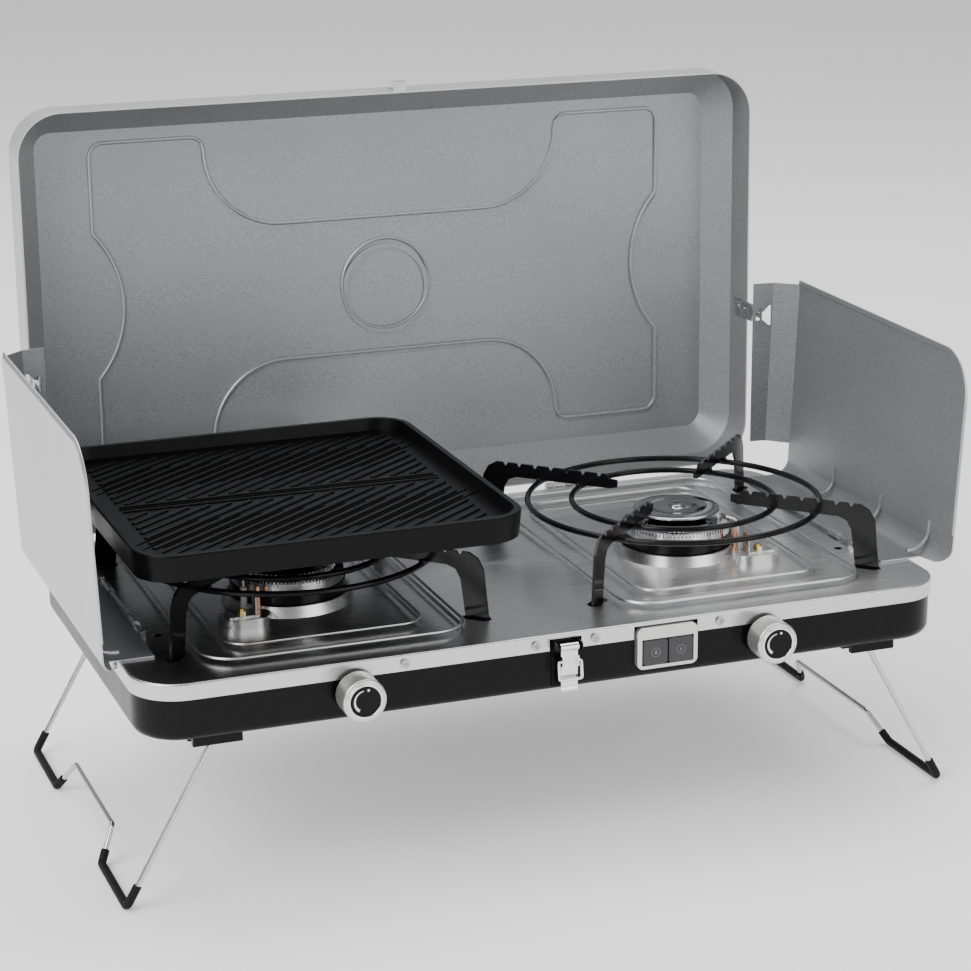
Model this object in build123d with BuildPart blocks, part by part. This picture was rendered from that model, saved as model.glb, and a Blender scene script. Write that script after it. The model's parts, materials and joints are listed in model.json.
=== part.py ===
from build123d import *
import math
import os

os.makedirs("parts", exist_ok=True)

# Driving sizes, mm. Ground is z = 0, the front faces -Y, x = 0 is the middle of the stove.
top = 173.0
deck_w = 630.0
deck_d = 344.0
deck_y = -18.0
deck_r = 36.0
rim_h = 12.2
sheet = 1.0
front = deck_y - deck_d / 2
rear = deck_y + deck_d / 2

burner_x = 161.0
burner_y = deck_y - 10.0
support_y = deck_y - 4.0
arm_angles = (45, 135, 225, 315)

knob_x = 160.0
knob_z = top - 22.0
knob_r = 16.0

lid_tilt = math.radians(0.9)
lid_edge_y = deck_y + 175.3
lid_edge_z = top + 4.5
lid_w = 624.6
lid_h = 339.8
lid_wall = 33.2
lid_slope = 17.4
lid_inset = 22.2
lid_t = 1.2
hinge_y = deck_y + 175.65
hinge_z = top + 0.85

leg_angle = math.radians(29.6)
leg_pivot_x = 258.0
leg_pivot_z = top - 50.0
leg_front_y = deck_y - 150.0
leg_rear_y = deck_y + 164.0
leg_wire_r = 2.0
sleeve_r = 3.2
foot_s = (leg_pivot_z - sleeve_r) / math.cos(leg_angle)

shield_pivot_x = 287.0
shield_pivot_z = top + 3.0
sides = ((-1, "left"), (1, "right"))


def wire_solid(points, bend, radius):
    """Round wire along a polyline with rounded corners."""
    path = FilletPolyline(*points, radius=bend)
    profile = Plane(path @ 0, z_dir=path % 0) * Circle(radius)
    return sweep(profile, path=path)


def radial_plane(cx, cy, angle):
    """Upright plane through a burner centre: local x runs outward, local y runs up."""
    c = math.cos(math.radians(angle))
    s = math.sin(math.radians(angle))
    return Plane(origin=(cx, cy, 0), x_dir=(c, s, 0), z_dir=(s, -c, 0))


# Screw places shared by the deck, the tray and the screws: x, y, z, outward direction.
screw_spots = [(x, front, top - 6.5, (0, -1, 0)) for x in (-123, -23, 23, 123)]
screw_spots += [(x, rear, top - 6.5, (0, 1, 0)) for x in (-240, -60, 60, 240)]
for s in (-1, 1):
    screw_spots += [(s * deck_w / 2, deck_y + y, top - 6.0, (s, 0, 0)) for y in (-99, 0, 99)]
screw_planes = [Plane(origin=(x, y, z), z_dir=d) for x, y, z, d in screw_spots]

slot_spots = []
for s in (-1, 1):
    for a in arm_angles:
        r = 160.0
        sx = s * burner_x + r * math.cos(math.radians(a))
        sy = support_y + r * math.sin(math.radians(a))
        slot_spots.append((sx, sy, a))

# --- top deck: pressed stainless pan with recesses, burner collars and support slots ---
with BuildPart() as top_deck:
    with BuildSketch(Plane.XY.offset(top - rim_h)):
        with Locations((0, deck_y)):
            RectangleRounded(deck_w, deck_d, deck_r)
    extrude(amount=rim_h)
    fillet(top_deck.edges().group_by(Axis.Z)[-1], 1.6)
    with BuildSketch(Plane.XY.offset(top - rim_h)):
        with Locations((0, deck_y)):
            RectangleRounded(deck_w - 2 * sheet, deck_d - 2 * sheet, deck_r - sheet)
    extrude(amount=rim_h - sheet, mode=Mode.SUBTRACT)
    with BuildSketch(Plane.XY.offset(top - 3.0)):
        with Locations((-burner_x, deck_y), (burner_x, deck_y)):
            RectangleRounded(199.6, 293.6, 26.8)
    extrude(amount=2.0)
    with BuildSketch(Plane.XY.offset(top - 4.5)):
        with Locations((-burner_x, deck_y + 7), (burner_x, deck_y + 7)):
            RectangleRounded(154, 248, 19)
    extrude(amount=2.0)
    with BuildSketch(Plane.XY.offset(top)):
        with Locations((-burner_x, deck_y), (burner_x, deck_y)):
            RectangleRounded(198, 292, 26)
    extrude(amount=-2.0, taper=40, mode=Mode.SUBTRACT)
    with BuildSketch(Plane.XY.offset(top - 2.0)):
        with Locations((-burner_x, deck_y + 7), (burner_x, deck_y + 7)):
            RectangleRounded(152, 246, 18)
    extrude(amount=-1.5, taper=40, mode=Mode.SUBTRACT)
    for s in (-1, 1):
        with Locations((s * burner_x, burner_y, top + 0.5)):
            Cone(50.5, 47.5, 8.0)
        with Locations((s * burner_x, burner_y, top - 0.5)):
            Cone(49.4, 46.4, 8.0, mode=Mode.SUBTRACT)
        with Locations((s * burner_x, burner_y, top)):
            Cylinder(45.2, 16, mode=Mode.SUBTRACT)
        with BuildSketch(Plane.XY.offset(top - 4.5)):
            with Locations((s * (burner_x + 47), burner_y - 47)):
                RectangleRounded(38, 26, 12.5)
            with Locations((s * burner_x, burner_y)):
                Circle(50, mode=Mode.SUBTRACT)
        extrude(amount=8.0)
        with BuildSketch(Plane.XY.offset(top - 4.5)):
            with Locations((s * (burner_x + 47), burner_y - 47)):
                RectangleRounded(36, 24, 11.5)
            with Locations((s * burner_x, burner_y)):
                Circle(51, mode=Mode.SUBTRACT)
        extrude(amount=7.0, mode=Mode.SUBTRACT)
        with Locations((s * (burner_x + 41), burner_y - 24, top)):
            Cylinder(3.4, 20, mode=Mode.SUBTRACT)
        with Locations((s * (burner_x + 34), burner_y - 37, top)):
            Cylinder(2.6, 20, mode=Mode.SUBTRACT)
        with Locations((s * 276, deck_y - 67, top)):
            Cylinder(3.4, 10, mode=Mode.SUBTRACT)
    for sx, sy, a in slot_spots:
        with BuildSketch(Plane.XY.offset(top - 2)):
            with Locations(Location((sx, sy), a)):
                Polygon((-12, 0), (-8, -5.5), (8, -5.5), (12, 0), (8, 5.5), (-8, 5.5))
        extrude(amount=4, mode=Mode.SUBTRACT)
    with Locations((0, front, top - rim_h + 2)):
        Box(25, 12, 13.6, mode=Mode.SUBTRACT)
    with Locations((79.5, front, top - rim_h + 2)):
        Box(51, 12, 15.4, mode=Mode.SUBTRACT)
    for p in screw_planes:
        with Locations(p):
            Cylinder(1.7, 8, mode=Mode.SUBTRACT)
top_deck.part.label = "top_deck"
export_step(top_deck.part, "parts/top_deck.step")

# --- lower body: black steel tray ---
with BuildPart() as tray_inner:
    with BuildSketch(Plane.XY.offset(top - 43.0)):
        with Locations((0, deck_y)):
            RectangleRounded(deck_w - 5.4, deck_d - 5.4, deck_r - 2.7)
    extrude(amount=45.0)
    fillet(tray_inner.edges().group_by(Axis.Z)[0], 6.8)

with BuildPart() as body_tray:
    with BuildSketch(Plane.XY.offset(top - 44.2)):
        with Locations((0, deck_y)):
            RectangleRounded(deck_w - 3.0, deck_d - 3.0, deck_r - 1.5)
    extrude(amount=38.6)
    fillet(body_tray.edges().group_by(Axis.Z)[0], 8.0)
    add(tray_inner.part, mode=Mode.SUBTRACT)
    for s in (-1, 1):
        with Locations(Plane(origin=(s * knob_x, front, knob_z), z_dir=(0, -1, 0))):
            Cylinder(5.0, 12, mode=Mode.SUBTRACT)
    with Locations((79.5, front, top - 22.4)):
        Box(43.0, 12, 22.0, mode=Mode.SUBTRACT)
    with Locations(Plane(origin=(235, rear, top - 24), z_dir=(0, 1, 0))):
        Cylinder(6.2, 12, mode=Mode.SUBTRACT)
    for p in screw_planes:
        with Locations(p):
            Cylinder(1.7, 12, mode=Mode.SUBTRACT)
    for s in (-1, 1):
        for i in range(6):
            with BuildSketch(Plane.XY.offset(top - 46)):
                with Locations((s * burner_x, burner_y - 50 + 20 * i)):
                    SlotOverall(70, 6)
            extrude(amount=5, mode=Mode.SUBTRACT)
body_tray.part.label = "body_tray"
export_step(body_tray.part, "parts/body_tray.step")

# --- rim screws, one solid each ---
with BuildPart() as rim_screws:
    for p in screw_planes:
        with Locations(p):
            with Locations((0, 0, 0.8)):
                Cylinder(3.4, 1.6)
            with Locations((0, 0, -1.9)):
                Cylinder(1.5, 3.8)
            with Locations((0, 0, 1.3)):
                Box(3.6, 0.8, 0.7, mode=Mode.SUBTRACT)
                Box(0.8, 3.6, 0.7, mode=Mode.SUBTRACT)
rim_screws.part.label = "rim_screws"
export_step(rim_screws.part, "parts/rim_screws.step")

# --- channels under the deck slots that the pan support feet stand in ---
with BuildPart() as support_seats:
    for sx, sy, a in slot_spots:
        with Locations(Location((sx, sy, top - sheet - 3.1), (0, 0, a))):
            Box(26, 11.4, 6.2)
            with Locations((0, 0, 0.6)):
                Box(24.4, 12, 5.0, mode=Mode.SUBTRACT)
support_seats.part.label = "support_seats"
export_step(support_seats.part, "parts/support_seats.step")

# --- burners ---
for s, side in sides:
    axis_plane = Plane(origin=(s * burner_x, burner_y, 0), x_dir=(1, 0, 0), z_dir=(0, -1, 0))

    with BuildPart() as bowl:
        with BuildSketch(axis_plane):
            with BuildLine():
                Polyline(
                    (7.6, top - 18), (26, top - 18), (40.5, top - 8), (43.8, top + 2), (43.8, top + 13.4),
                    (42.0, top + 13.4), (42.0, top + 3), (39.0, top - 6), (25, top - 16.2),
                    (7.6, top - 16.2), close=True)
            make_face()
        revolve(axis=Axis((s * burner_x, burner_y, 0), (0, 0, 1)))
    bowl.part.label = "burner_bowl_" + side
    export_step(bowl.part, "parts/burner_bowl_" + side + ".step")

    with BuildPart() as ring:
        with BuildSketch(axis_plane):
            with BuildLine():
                Polyline(
                    (26, top + 13.4), (43.0, top + 13.4), (42.6, top + 20.4), (36.4, top + 22.2),
                    (35.2, top + 25.0), (26, top + 25.0), close=True)
            make_face()
        revolve(axis=Axis((s * burner_x, burner_y, 0), (0, 0, 1)))
        with Locations((s * burner_x, burner_y, top + 19.9)):
            with PolarLocations(41.8, 90):
                Box(3.4, 1.2, 3.2, mode=Mode.SUBTRACT)
        with Locations((s * burner_x, burner_y, top + 24.1)):
            with PolarLocations(35.4, 60):
                Box(2.6, 1.2, 2.2, mode=Mode.SUBTRACT)
    ring.part.label = "flame_ring_" + side
    export_step(ring.part, "parts/flame_ring_" + side + ".step")

    with BuildPart() as cap:
        with BuildSketch(axis_plane):
            with BuildLine():
                Polyline(
                    (0, top + 22.0), (22.0, top + 22.0), (22.0, top + 25.0), (34.0, top + 25.0), (34.0, top + 26.6),
                    (31.0, top + 28.8), (20.0, top + 31.2), (6.0, top + 32.4), (5.4, top + 33.6),
                    (0, top + 33.8), close=True)
            make_face()
        revolve(axis=Axis((s * burner_x, burner_y, 0), (0, 0, 1)))
    cap.part.label = "burner_cap_" + side
    export_step(cap.part, "parts/burner_cap_" + side + ".step")

    tip = wire_solid(
        [(s * (burner_x + 41), burner_y - 24, top + 15), (s * (burner_x + 41), burner_y - 24, top + 23),
         (s * (burner_x + 34), burner_y - 20, top + 25)], 2.0, 0.8)
    with BuildPart() as electrode:
        with Locations((s * (burner_x + 41), burner_y - 24, top + 4)):
            Cylinder(2.5, 26)
        with Locations((s * (burner_x + 41), burner_y - 24, top + 2)):
            Cylinder(3.3, 3)
        add(tip)
    electrode.part.label = "spark_electrode_" + side
    export_step(electrode.part, "parts/spark_electrode_" + side + ".step")

    with BuildPart() as thermo:
        with Locations((s * (burner_x + 34), burner_y - 37, top + 3)):
            Cylinder(2.4, 24)
        with Locations((s * (burner_x + 34), burner_y - 37, top + 18)):
            Cone(2.4, 1.4, 6)
    thermo.part.label = "thermocouple_" + side
    export_step(thermo.part, "parts/thermocouple_" + side + ".step")

    # knob group
    knob_plane = Plane(origin=(s * knob_x, front - 3.8, knob_z), x_dir=(1, 0, 0), z_dir=(0, -1, 0))
    with BuildPart(knob_plane) as knob:
        with Locations((0, 0, 9.5)):
            Cylinder(knob_r, 19)
        fillet(knob.edges().sort_by(Axis.Y)[0], 1.8)
        with Locations((0, 0, 17.5)):
            Cylinder(13.2, 3.2, mode=Mode.SUBTRACT)
        with Locations((0, 0, 4)):
            Cylinder(14.0, 8.2, mode=Mode.SUBTRACT)
        with Locations((0, 0, 5)):
            Cylinder(6.2, 10)
        with Locations((0, 0, 5)):
            Cylinder(3.05, 10.2, mode=Mode.SUBTRACT)
    knob.part.label = "knob_body_" + side
    export_step(knob.part, "parts/knob_body_" + side + ".step")

    with BuildPart(knob_plane) as bezel:
        with Locations((0, 0, 17.8)):
            Cylinder(13.2, 3.8)
            Cylinder(11.2, 3.8, mode=Mode.SUBTRACT)
        fillet(bezel.edges().group_by(Axis.Y)[0], 0.6)
    bezel.part.label = "knob_ring_" + side
    export_step(bezel.part, "parts/knob_ring_" + side + ".step")

    with BuildPart(knob_plane) as face:
        with Locations((0, 0, 17.3)):
            Cylinder(11.2, 2.8)
    face.part.label = "knob_face_" + side
    export_step(face.part, "parts/knob_face_" + side + ".step")

    with BuildPart(knob_plane) as stem:
        with Locations((0, 0, -4.0)):
            Cylinder(3.0, 26)
    stem.part.label = "valve_stem_" + side
    export_step(stem.part, "parts/valve_stem_" + side + ".step")

# --- brackets and nuts beside the burners ---
with BuildPart() as electrode_brackets:
    for s in (-1, 1):
        with Locations((s * (burner_x + 49), burner_y - 47, top + 4.1)):
            Box(22, 14, 1.2)
        with Locations((s * (burner_x + 39.2), burner_y - 47, top + 11.0)):
            Box(1.2, 10, 15)
        with Locations((s * (burner_x + 49), burner_y - 47, top + 4.1)):
            Cylinder(2.1, 4, mode=Mode.SUBTRACT)
electrode_brackets.part.label = "electrode_brackets"
export_step(electrode_brackets.part, "parts/electrode_brackets.step")

with BuildPart() as bracket_nuts:
    for s in (-1, 1):
        with BuildSketch(Plane.XY.offset(top + 4.7)):
            with Locations((s * (burner_x + 49), burner_y - 47)):
                RegularPolygon(4.0, 6)
        extrude(amount=2.6)
        with Locations((s * (burner_x + 49), burner_y - 47, top + 6.2)):
            Cylinder(2.0, 5.2)
bracket_nuts.part.label = "bracket_nuts"
export_step(bracket_nuts.part, "parts/bracket_nuts.step")

# --- gas train under the deck ---
with BuildPart() as mixing_tubes:
    for s in (-1, 1):
        for rad, mode in ((7.4, Mode.ADD), (6.2, Mode.SUBTRACT)):
            with Locations(Plane(origin=(s * burner_x, (burner_y + deck_y - 128) / 2 + 3.7, top - 28), z_dir=(0, 1, 0))):
                Cylinder(rad, burner_y - deck_y + 128 + (7.4 if mode == Mode.ADD else 6.2), mode=mode)
            with Locations((s * burner_x, burner_y, top - 22.5)):
                Cylinder(rad, 11 if mode == Mode.ADD else 14, mode=mode)
mixing_tubes.part.label = "mixing_tubes"
export_step(mixing_tubes.part, "parts/mixing_tubes.step")

with BuildPart() as gas_valves:
    for s in (-1, 1):
        with Locations((s * knob_x, deck_y - 150, top - 24.0)):
            Box(19, 30, 20.6)
        with Locations(Plane(origin=(s * knob_x, deck_y - 158, knob_z), z_dir=(0, 1, 0))):
            Cylinder(3.1, 17, mode=Mode.SUBTRACT)
gas_valves.part.label = "gas_valves"
export_step(gas_valves.part, "parts/gas_valves.step")

with BuildPart() as gas_jets:
    for s in (-1, 1):
        with Locations(Plane(origin=(s * burner_x, deck_y - 135, top - 28), z_dir=(0, 1, 0))):
            Cylinder(4.0, 5.6, align=(Align.CENTER, Align.CENTER, Align.MIN))
            Cylinder(0.8, 5.6, align=(Align.CENTER, Align.CENTER, Align.MIN), mode=Mode.SUBTRACT)
gas_jets.part.label = "gas_jets"
export_step(gas_jets.part, "parts/gas_jets.step")

pipe = wire_solid(
    [(-knob_x, deck_y - 146, top - 37.9), (235, deck_y - 146, top - 37.9), (235, deck_y + 118, top - 37.9),
     (235, deck_y + 140, top - 24), (235, deck_y + 158, top - 24)], 9.0, 3.5)
with BuildPart() as gas_manifold:
    add(pipe)
gas_manifold.part.label = "gas_manifold"
export_step(gas_manifold.part, "parts/gas_manifold.step")

inlet_plane = Plane(origin=(235, deck_y + 158, top - 24), z_dir=(0, 1, 0))
with BuildPart(inlet_plane) as gas_inlet:
    with Locations((0, 0, 5)):
        Cylinder(6.0, 10)
    with BuildSketch(inlet_plane.offset(14.0)):
        RegularPolygon(8.0, 6)
    extrude(amount=5)
    with Locations((0, 0, 12)):
        Cylinder(6.0, 4)
    with Locations((0, 0, 26)):
        Cylinder(4.0, 14)
    with Locations((0, 0, 17)):
        Cylinder(2.5, 34.2, mode=Mode.SUBTRACT)
gas_inlet.part.label = "gas_inlet"
export_step(gas_inlet.part, "parts/gas_inlet.step")

# --- pan supports: four toothed arms and two wire rings each ---
for s, side in sides:
    with BuildPart() as arms:
        for a in arm_angles:
            with BuildSketch(radial_plane(s * burner_x, support_y, a)):
                with BuildLine():
                    Polyline(
                        (48, top + 40), (54, top + 38.6), (136, top + 38.6), (143, top + 36), (147, top + 29), (151, top),
                        (151.5, top - 6), (168.5, top - 6), (169.5, top), (165.5, top + 38), (161, top + 46),
                        (154, top + 50), (58, top + 50), (55, top + 46.5), (48, top + 46), close=True)
                make_face()
                with Locations(*[(r, top + 50.6) for r in (64, 78, 92, 106, 120, 134, 146)]):
                    Trapezoid(9.0, 7.0, 62, rotation=180, mode=Mode.SUBTRACT)
            extrude(amount=1.0, both=True)
    arms.part.label = "support_arms_" + side
    export_step(arms.part, "parts/support_arms_" + side + ".step")

    with BuildPart() as rings:
        with Locations((s * burner_x, support_y, top + 36.25)):
            Torus(116, 2.35)
            Torus(81, 2.35)
    rings.part.label = "support_rings_" + side
    export_step(rings.part, "parts/support_rings_" + side + ".step")

# --- griddle plate: tray with rounded corners, skirt and four ribs that stand on the arms ---
griddle_x = -160.0
griddle_y = deck_y + 2.0
griddle_z = top + 50.0
with BuildPart() as griddle:
    with BuildSketch(Plane.XY.offset(griddle_z + 35)):
        with Locations((griddle_x, griddle_y)):
            RectangleRounded(290, 300, 30)
    extrude(amount=-20, taper=6)
    fillet(griddle.edges().group_by(Axis.Z)[-1], 1.6)
    with BuildSketch(Plane.XY.offset(griddle_z + 35)):
        with Locations((griddle_x, griddle_y)):
            RectangleRounded(279, 289, 25)
    extrude(amount=-9.5, taper=12, mode=Mode.SUBTRACT)
    with BuildSketch(Plane.XY.offset(griddle_z + 15)):
        with Locations((griddle_x, griddle_y)):
            RectangleRounded(276, 286, 22)
    extrude(amount=5, mode=Mode.SUBTRACT)
    for a in arm_angles:
        with BuildSketch(radial_plane(-burner_x, support_y, a)):
            with BuildLine():
                Polyline(
                    (66, griddle_z + 21), (70, griddle_z + 0.1), (138, griddle_z + 0.1), (144, griddle_z + 6),
                    (147, griddle_z + 21), close=True)
            make_face()
        extrude(amount=3.5, both=True)
    with BuildSketch(Plane.XY.offset(griddle_z + 25.5)):
        with Locations(*[(griddle_x + 16 * i, griddle_y + 72) for i in range(-7, 8)]):
            SlotOverall(92, 2.0, rotation=38)
        with Locations(*[(griddle_x + 16 * i, griddle_y - 72) for i in range(-7, 8)]):
            SlotOverall(92, 2.0, rotation=38)
        with Locations((griddle_x, griddle_y)):
            SlotOverall(250, 3.0)
    extrude(amount=-1.0, mode=Mode.SUBTRACT)
griddle.part.label = "griddle"
export_step(griddle.part, "parts/griddle.step")

# --- ignition switch panel ---
with BuildPart() as ignition_frame:
    with BuildSketch(Plane(origin=(79.5, front + 1.5, top - 19.5), x_dir=(1, 0, 0), z_dir=(0, -1, 0))):
        RectangleRounded(48.5, 32.0, 5)
    extrude(amount=5.5)
    fillet(ignition_frame.faces().sort_by(Axis.Y)[0].edges(), 1.0)
    with Locations((79.5, front, top - 22.4)):
        Box(41.4, 22, 20.4, mode=Mode.SUBTRACT)
ignition_frame.part.label = "ignition_frame"
export_step(ignition_frame.part, "parts/ignition_frame.step")

for bx, bname in ((69.4, "left"), (89.6, "right")):
    with BuildPart() as button:
        with BuildSketch(Plane(origin=(bx, front + 6.0, top - 22.4), x_dir=(1, 0, 0), z_dir=(0, -1, 0))):
            RectangleRounded(19.2, 19.2, 2.0)
        extrude(amount=11.0)
        fillet(button.faces().sort_by(Axis.Y)[0].edges(), 0.7)
    button.part.label = "ignition_button_" + bname
    export_step(button.part, "parts/ignition_button_" + bname + ".step")

with BuildPart() as igniter_box:
    with Locations((79.5, front + 26.0, top - 22.4)):
        Box(40.0, 30, 19.6)
    with Locations((79.5, front + 7.8, top - 22.4)):
        Box(46.0, 9.4, 26.0)
        Box(41.4, 10, 20.4, mode=Mode.SUBTRACT)
igniter_box.part.label = "igniter_box"
export_step(igniter_box.part, "parts/igniter_box.step")

# --- front latch: base, lever and wire loop ---
latch_axis = (front - 6.0, top - 8.4)
with BuildPart() as latch_base:
    with Locations((0, front + 0.9, top - 22.0)):
        Box(21, 1.2, 36)
    for s in (-1, 1):
        with BuildSketch(Plane(origin=(s * 9.5, 0, 0), x_dir=(0, 1, 0), z_dir=(1, 0, 0))):
            with Locations(latch_axis):
                Circle(3.4)
            with Locations(((latch_axis[0] + front + 0.4) / 2, latch_axis[1])):
                Rectangle(6.6, 6.8)
        extrude(amount=0.6, both=True)
    with Locations(Plane(origin=(0, latch_axis[0], latch_axis[1]), z_dir=(1, 0, 0))):
        Cylinder(1.5, 20.4)
latch_base.part.label = "latch_base"
export_step(latch_base.part, "parts/latch_base.step")

with BuildPart() as latch_lever:
    with Locations(Plane(origin=(0, latch_axis[0], latch_axis[1]), z_dir=(1, 0, 0))):
        Cylinder(2.9, 14)
    with Locations((0, latch_axis[0] - 0.6, latch_axis[1] - 17)):
        Box(13, 1.2, 32)
    with Locations((0, latch_axis[0] - 1.3, latch_axis[1] - 32.2)):
        Box(13, 2.6, 1.6)
    for s in (-1, 1):
        with Locations((s * 5.9, latch_axis[0] - 2.2, latch_axis[1] - 10)):
            Box(1.2, 4.0, 8)
    with Locations(Plane(origin=(0, latch_axis[0] - 2.4, latch_axis[1] - 10), z_dir=(1, 0, 0))):
        Cylinder(1.2, 13.4, mode=Mode.SUBTRACT)
    with Locations(Plane(origin=(0, latch_axis[0], latch_axis[1]), z_dir=(1, 0, 0))):
        Cylinder(1.56, 18, mode=Mode.SUBTRACT)
latch_lever.part.label = "latch_lever"
export_step(latch_lever.part, "parts/latch_lever.step")

loop_y = latch_axis[0] - 2.4
loop_z = latch_axis[1] - 10
loop_wire = wire_solid(
    [(-5.3, loop_y, loop_z), (-8.8, loop_y, loop_z), (-8.8, loop_y - 1.8, loop_z - 13.5),
     (8.8, loop_y - 1.8, loop_z - 13.5), (8.8, loop_y, loop_z), (5.3, loop_y, loop_z)], 1.5, 1.15)
with BuildPart() as latch_loop:
    add(loop_wire)
latch_loop.part.label = "latch_loop"
export_step(latch_loop.part, "parts/latch_loop.step")

# --- lid, standing open ---
up = (0, math.sin(lid_tilt), math.cos(lid_tilt))
back = (0, math.cos(lid_tilt), -math.sin(lid_tilt))
lid_plane = Plane(origin=(0, lid_edge_y, lid_edge_z), x_dir=(-1, 0, 0), z_dir=back)
lid_mid = (0, lid_h / 2)
lid_depth = lid_wall + lid_slope
emboss = 0.9
with BuildPart() as lid_inner:
    with BuildSketch(lid_plane):
        with Locations(lid_mid):
            RectangleRounded(lid_w - 2 * lid_t, lid_h - 2 * lid_t, 34.8)
    extrude(amount=lid_wall - 0.4)
    with BuildSketch(lid_plane.offset(lid_wall - 0.4)):
        with Locations(lid_mid):
            RectangleRounded(lid_w - 2 * lid_t, lid_h - 2 * lid_t, 34.8)
    with BuildSketch(lid_plane.offset(lid_depth - lid_t)):
        with Locations(lid_mid):
            RectangleRounded(lid_w - 2 * lid_inset - lid_t, lid_h - 2 * lid_inset - lid_t, 14)
    loft()

with BuildPart() as lid_shell:
    with BuildSketch(lid_plane):
        with Locations(lid_mid):
            RectangleRounded(lid_w, lid_h, 36)
    extrude(amount=lid_wall)
    with BuildSketch(lid_plane.offset(lid_wall)):
        with Locations(lid_mid):
            RectangleRounded(lid_w, lid_h, 36)
    with BuildSketch(lid_plane.offset(lid_depth)):
        with Locations(lid_mid):
            RectangleRounded(lid_w - 2 * lid_inset + lid_t, lid_h - 2 * lid_inset + lid_t, 15)
    loft()
    add(lid_inner.part, mode=Mode.SUBTRACT)
    for level, mode in ((lid_depth, Mode.ADD), (lid_depth - lid_t, Mode.SUBTRACT)):
        with BuildSketch(lid_plane.offset(level)):
            with Locations(lid_mid):
                Rectangle(2 * 160, 114)
            with Locations((lid_mid[0] - 199, lid_mid[1]), (lid_mid[0] + 199, lid_mid[1])):
                RectangleRounded(94, 264, 11)
            corners = [(lid_mid[0] + sx * 120, lid_mid[1] + sy * 89) for sx in (-1, 1) for sy in (-1, 1)]
            with Locations(*corners):
                Rectangle(64, 64)
            rounds = [(lid_mid[0] + sx * 88, lid_mid[1] + sy * 121) for sx in (-1, 1) for sy in (-1, 1)]
            with Locations(*rounds):
                Circle(64, mode=Mode.SUBTRACT)
            with Locations((lid_mid[0], lid_mid[1] + 98), (lid_mid[0], lid_mid[1] - 98)):
                Rectangle(2 * 88, 82, mode=Mode.SUBTRACT)
            bites = [(lid_mid[0] + sx * 312.8, lid_mid[1]) for sx in (-1, 1)]
            with Locations(*bites):
                Circle(89.8, mode=Mode.SUBTRACT)
        extrude(amount=emboss, mode=mode)
    with BuildSketch(lid_plane.offset(lid_depth - lid_t + emboss)):
        with Locations(lid_mid):
            Circle(38)
            Circle(34, mode=Mode.SUBTRACT)
    extrude(amount=-1.7)
lid_shell.part.label = "lid_shell"
export_step(lid_shell.part, "parts/lid_shell.step")

with BuildPart(lid_plane) as lid_strike:
    with Locations((0, lid_h + 0.6, 10)):
        Box(11, 1.2, 16)
    with Locations((0, lid_h + 4.0, 2.6)):
        Box(11, 8.0, 1.2)
    with Locations((0, lid_h + 7.4, 4.2)):
        Box(11, 1.2, 4.4)
lid_strike.part.label = "lid_strike"
export_step(lid_strike.part, "parts/lid_strike.step")

with BuildPart() as lid_hooks:
    for s in (-1, 1):
        with BuildSketch(Plane(origin=(s * (lid_w / 2 - lid_t - 0.7), 0, 0), x_dir=(0, 1, 0), z_dir=(1, 0, 0))):
            with BuildLine():
                Polyline(
                    (deck_y + 147.5, top + 133.2), (deck_y + 149.5, top + 133.2), (deck_y + 149.5, top + 137.2),
                    (deck_y + 163, top + 137.2), (deck_y + 165.5, top + 131), (deck_y + 199, top + 131),
                    (deck_y + 199, top + 146), (deck_y + 165.5, top + 146), (deck_y + 163, top + 141.2),
                    (deck_y + 149.5, top + 141.2), (deck_y + 149.5, top + 145.2), (deck_y + 147.5, top + 145.2), close=True)
            make_face()
        extrude(amount=0.7, both=True)
lid_hooks.part.label = "lid_hooks"
export_step(lid_hooks.part, "parts/lid_hooks.step")

with BuildPart() as hook_rivets:
    for s in (-1, 1):
        for ry, rz in ((180, 138.5), (192, 138.5)):
            with Locations(Plane(origin=(s * (lid_w / 2 - lid_t - 1.4), deck_y + ry, top + rz), z_dir=(-s, 0, 0))):
                Cylinder(2.6, 1.2, align=(Align.CENTER, Align.CENTER, Align.MIN))
hook_rivets.part.label = "hook_rivets"
export_step(hook_rivets.part, "parts/hook_rivets.step")

# --- lid hinges ---
hinge_x = 152.0
with BuildPart() as hinge_brackets:
    for s in (-1, 1):
        with Locations((s * hinge_x, rear + 0.6, top - 12.5)):
            Box(58, 1.2, 22)
        for off in (-19.6, 19.6):
            with Locations(Plane(origin=(s * hinge_x + off, hinge_y, hinge_z), z_dir=(1, 0, 0))):
                Cylinder(3.0, 18)
            with Locations((s * hinge_x + off, rear + 0.9, hinge_z - 2.2)):
                Box(18, 1.8, 2.6)
            with Locations(Plane(origin=(s * hinge_x + off, hinge_y, hinge_z), z_dir=(1, 0, 0))):
                Cylinder(1.55, 19, mode=Mode.SUBTRACT)
hinge_brackets.part.label = "hinge_brackets"
export_step(hinge_brackets.part, "parts/hinge_brackets.step")

with BuildPart() as hinge_leaves:
    for s in (-1, 1):
        leaf_plane = Plane(origin=(s * hinge_x, lid_edge_y, lid_edge_z), x_dir=(1, 0, 0), z_dir=up)
        with Locations(Plane(origin=(s * hinge_x, hinge_y, hinge_z), z_dir=(1, 0, 0))):
            Cylinder(3.0, 20)
        with Locations(leaf_plane):
            with Locations((0, 4.0, -0.6)):
                Box(20, 8.0, 1.2)
            with Locations((0, 17.0, -0.6)):
                Box(54, 20, 1.2)
        with Locations(Plane(origin=(s * hinge_x, hinge_y, hinge_z), z_dir=(1, 0, 0))):
            Cylinder(1.6, 21, mode=Mode.SUBTRACT)
hinge_leaves.part.label = "hinge_leaves"
export_step(hinge_leaves.part, "parts/hinge_leaves.step")

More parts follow.
